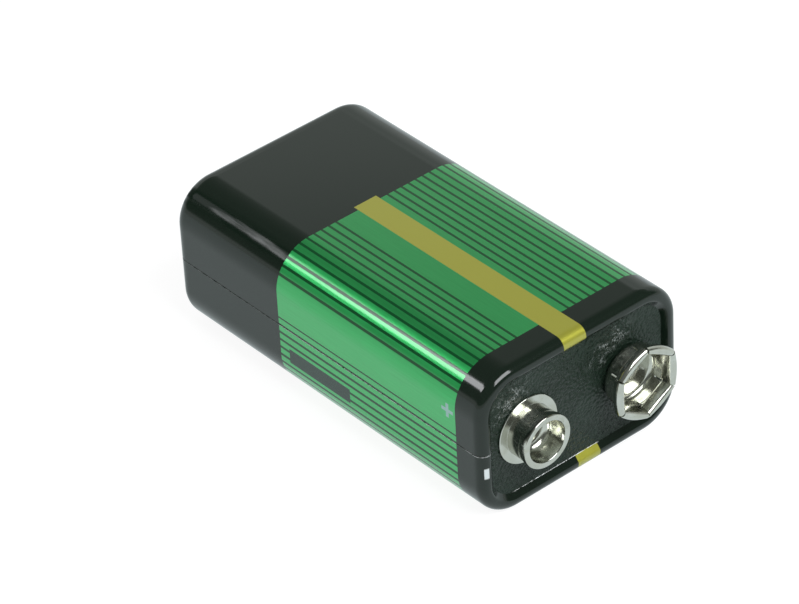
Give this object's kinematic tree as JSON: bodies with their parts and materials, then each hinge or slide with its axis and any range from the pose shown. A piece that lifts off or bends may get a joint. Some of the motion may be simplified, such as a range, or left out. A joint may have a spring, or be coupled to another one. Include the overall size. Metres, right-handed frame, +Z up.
{
  "type": "nine volt battery",
  "caption": "Rectangular block battery: a printed metal jacket rolled over both ends, with a round hollow stud and a petalled snap socket standing on one end.",
  "frame": {"origin": "centre of the battery's bounding box in length and width, on the surface under its broad face", "axes": "+X runs from the base to the snap contacts, +Y across the width from the stud to the socket, +Z up through the depth"},
  "size_m": [0.0478, 0.0252, 0.0164],
  "materials": {
    "lacquered_sheet": "glossy lacquer over printed tinned steel, green and black with a gold band",
    "board": "dark moulded board with a fine leathery grain",
    "base": "plain dark moulded plate",
    "nickel": "bright nickel plate on drawn steel",
    "rivet_metal": "nickel plate, slightly dull",
    "tinned_brass": "thin tinned brass strip",
    "card": "waxed card",
    "film": "thin clear shrink film",
    "tray_plastic": "thin formed plastic tray",
    "zinc": "zinc sheet with a carbon film on its outer side",
    "pasted_paper": "paste-coated separator paper",
    "black_mix": "pressed manganese dioxide and carbon mix"
  },
  "bodies": {
    "root": {"jacket": "lacquered_sheet", "terminal_board": "board", "bottom_plate": "base", "stud_contact": "nickel", "stud_rivet": "rivet_metal", "socket_contact": "nickel", "socket_rivet": "rivet_metal", "positive_collector": "tinned_brass", "negative_collector": "tinned_brass", "jacket_liner": "card", "top_card": "card", "bottom_card": "card", "stack_sleeve": "film", "cell_1_envelope": "tray_plastic", "cell_1_zinc": "zinc", "cell_1_separator": "pasted_paper", "cell_1_cake": "black_mix", "cell_2_envelope": "tray_plastic", "cell_2_zinc": "zinc", "cell_2_separator": "pasted_paper", "cell_2_cake": "black_mix", "cell_3_envelope": "tray_plastic", "cell_3_zinc": "zinc", "cell_3_separator": "pasted_paper", "cell_3_cake": "black_mix", "cell_4_envelope": "tray_plastic", "cell_4_zinc": "zinc", "cell_4_separator": "pasted_paper", "cell_4_cake": "black_mix", "cell_5_envelope": "tray_plastic", "cell_5_zinc": "zinc", "cell_5_separator": "pasted_paper", "cell_5_cake": "black_mix", "cell_6_envelope": "tray_plastic", "cell_6_zinc": "zinc", "cell_6_separator": "pasted_paper", "cell_6_cake": "black_mix"}
  },
  "joints": []
}
